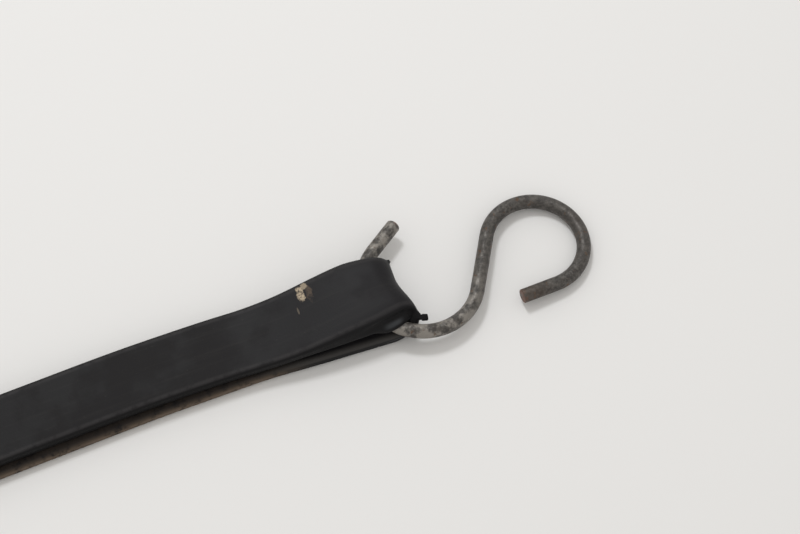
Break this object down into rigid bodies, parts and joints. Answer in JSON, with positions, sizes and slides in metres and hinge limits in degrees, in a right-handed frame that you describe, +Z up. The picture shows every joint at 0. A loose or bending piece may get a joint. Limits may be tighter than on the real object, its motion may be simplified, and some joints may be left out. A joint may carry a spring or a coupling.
{
  "type": "rubber tie-down strap",
  "caption": "Endless flat rubber band lying doubled, with a weathered round-wire S-hook threaded through the fold at each end.",
  "frame": {"origin": "on the underside of the band's lower layer, at mid-length, where the strap rests on the floor", "axes": "+X along the strap's chord to the near hook, +Z up from the floor, +Y to the left, on the outside of the strap's long gentle curve"},
  "size_m": [0.4864, 0.058, 0.0176],
  "materials": {
    "rubber": "matt moulded black rubber, dusty at the lower edges",
    "weathered_wire": "dull weathered zinc on steel, with brown spots and rusty cut ends"
  },
  "bodies": {
    "near_run": {"upper_run_near": "rubber", "lower_run_near": "rubber"},
    "near_end": {"bight_near": "rubber"},
    "near_hook": {"s_hook_near": "weathered_wire"},
    "far_run": {"upper_run_far": "rubber", "lower_run_far": "rubber"},
    "far_end": {"bight_far": "rubber"},
    "far_hook": {"s_hook_far": "weathered_wire"}
  },
  "joints": [
    {"name": "near_end_bend", "type": "hinge", "parent": "near_run", "child": "near_end", "pos_m": [0.07997, -0.002, 0.00515], "axis": [-0.05, -0.9988, 0], "range_deg": [-60, 75], "stiffness_Nm_per_rad": 0.035},
    {"name": "near_hook_turn", "type": "hinge", "parent": "near_end", "child": "near_hook", "pos_m": [0.16802, -0.00556, 0.00735], "axis": [0.0601, -0.0018, 0.9982], "range_deg": [-100, 25]},
    {"name": "stretch", "type": "slide", "parent": "near_run", "child": "far_run", "axis": [-0.9999, -0.0156, 0], "range_m": [0, 0.12], "stiffness_N_per_m": 3400},
    {"name": "far_end_bend", "type": "hinge", "parent": "far_run", "child": "far_end", "pos_m": [-0.07997, -0.002, 0.00515], "axis": [-0.05, 0.9988, 0], "range_deg": [-60, 75], "stiffness_Nm_per_rad": 0.035},
    {"name": "far_hook_turn", "type": "hinge", "parent": "far_end", "child": "far_hook", "pos_m": [-0.16802, -0.00556, 0.00735], "axis": [0.0601, 0.0018, -0.9982], "range_deg": [-100, 25]}
  ]
}
